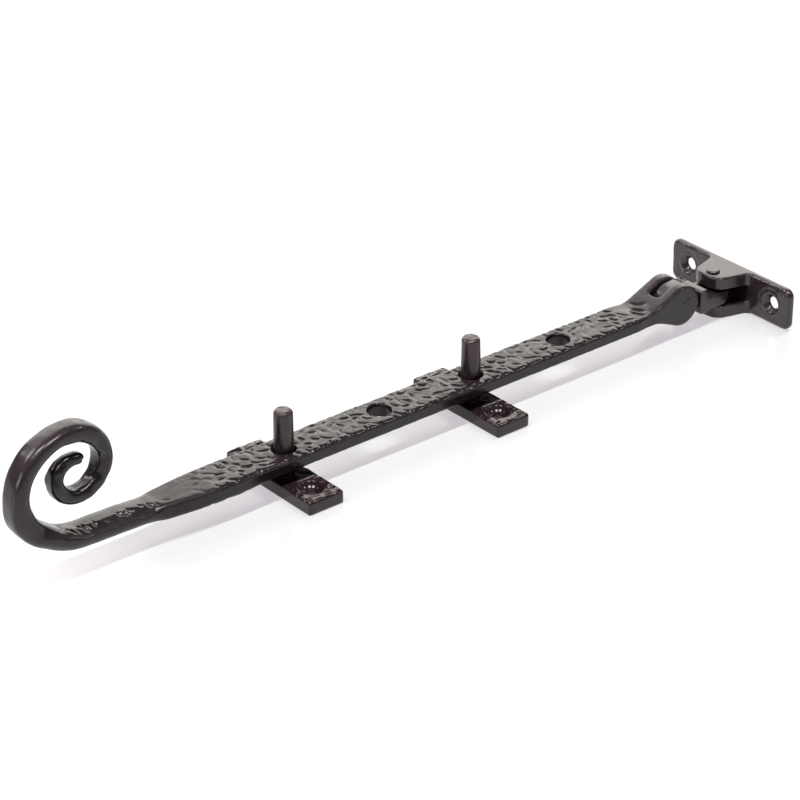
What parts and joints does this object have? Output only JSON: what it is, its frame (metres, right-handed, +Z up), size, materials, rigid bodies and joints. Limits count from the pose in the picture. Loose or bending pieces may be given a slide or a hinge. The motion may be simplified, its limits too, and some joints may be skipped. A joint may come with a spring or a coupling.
{
  "type": "casement stay",
  "caption": "Forged black casement stay: hammered peg bar with a scroll handle, hinged through a knuckle to a fixing bracket, lying on tapered pegs that stand on screw plates.",
  "frame": {"origin": "on the surface that the bracket and the peg plates stand on, under the middle of the stay's overall length and width", "axes": "+X along the bar from the scroll handle to the bracket, +Y across the bar, +Z up along the pegs"},
  "size_m": [0.305, 0.0584, 0.0498],
  "materials": {
    "hammered_black": "satin black paint over hammered wrought steel",
    "cast_black": "satin black paint over lightly pitted iron",
    "plate_black": "semi-gloss black paint over hammered steel",
    "peg_black": "semi-gloss black paint over smooth turned steel"
  },
  "bodies": {
    "frame_side": {"peg_plate_scroll_end": "plate_black", "peg_scroll_end": "peg_black", "peg_plate_middle": "plate_black", "peg_middle": "peg_black"},
    "arm": {"stay_arm": "hammered_black", "fork_pin": "hammered_black"},
    "link": {"knuckle": "cast_black"},
    "sash_side": {"bracket": "cast_black", "bracket_pin": "cast_black"}
  },
  "joints": [
    {"name": "arm_lift", "type": "slide", "parent": "frame_side", "child": "arm", "axis": [0, 0, 1], "range_m": [-0.0032, 0.022]},
    {"name": "knuckle_tilt", "type": "hinge", "parent": "arm", "child": "link", "pos_m": [0.1205, 0, 0.0111], "axis": [0, 1, 0], "range_deg": [-90, 90]},
    {"name": "bracket_swivel", "type": "hinge", "parent": "link", "child": "sash_side", "pos_m": [0.1415, 0, 0.0078], "axis": [0, 0, 1], "range_deg": [-90, 90]}
  ]
}
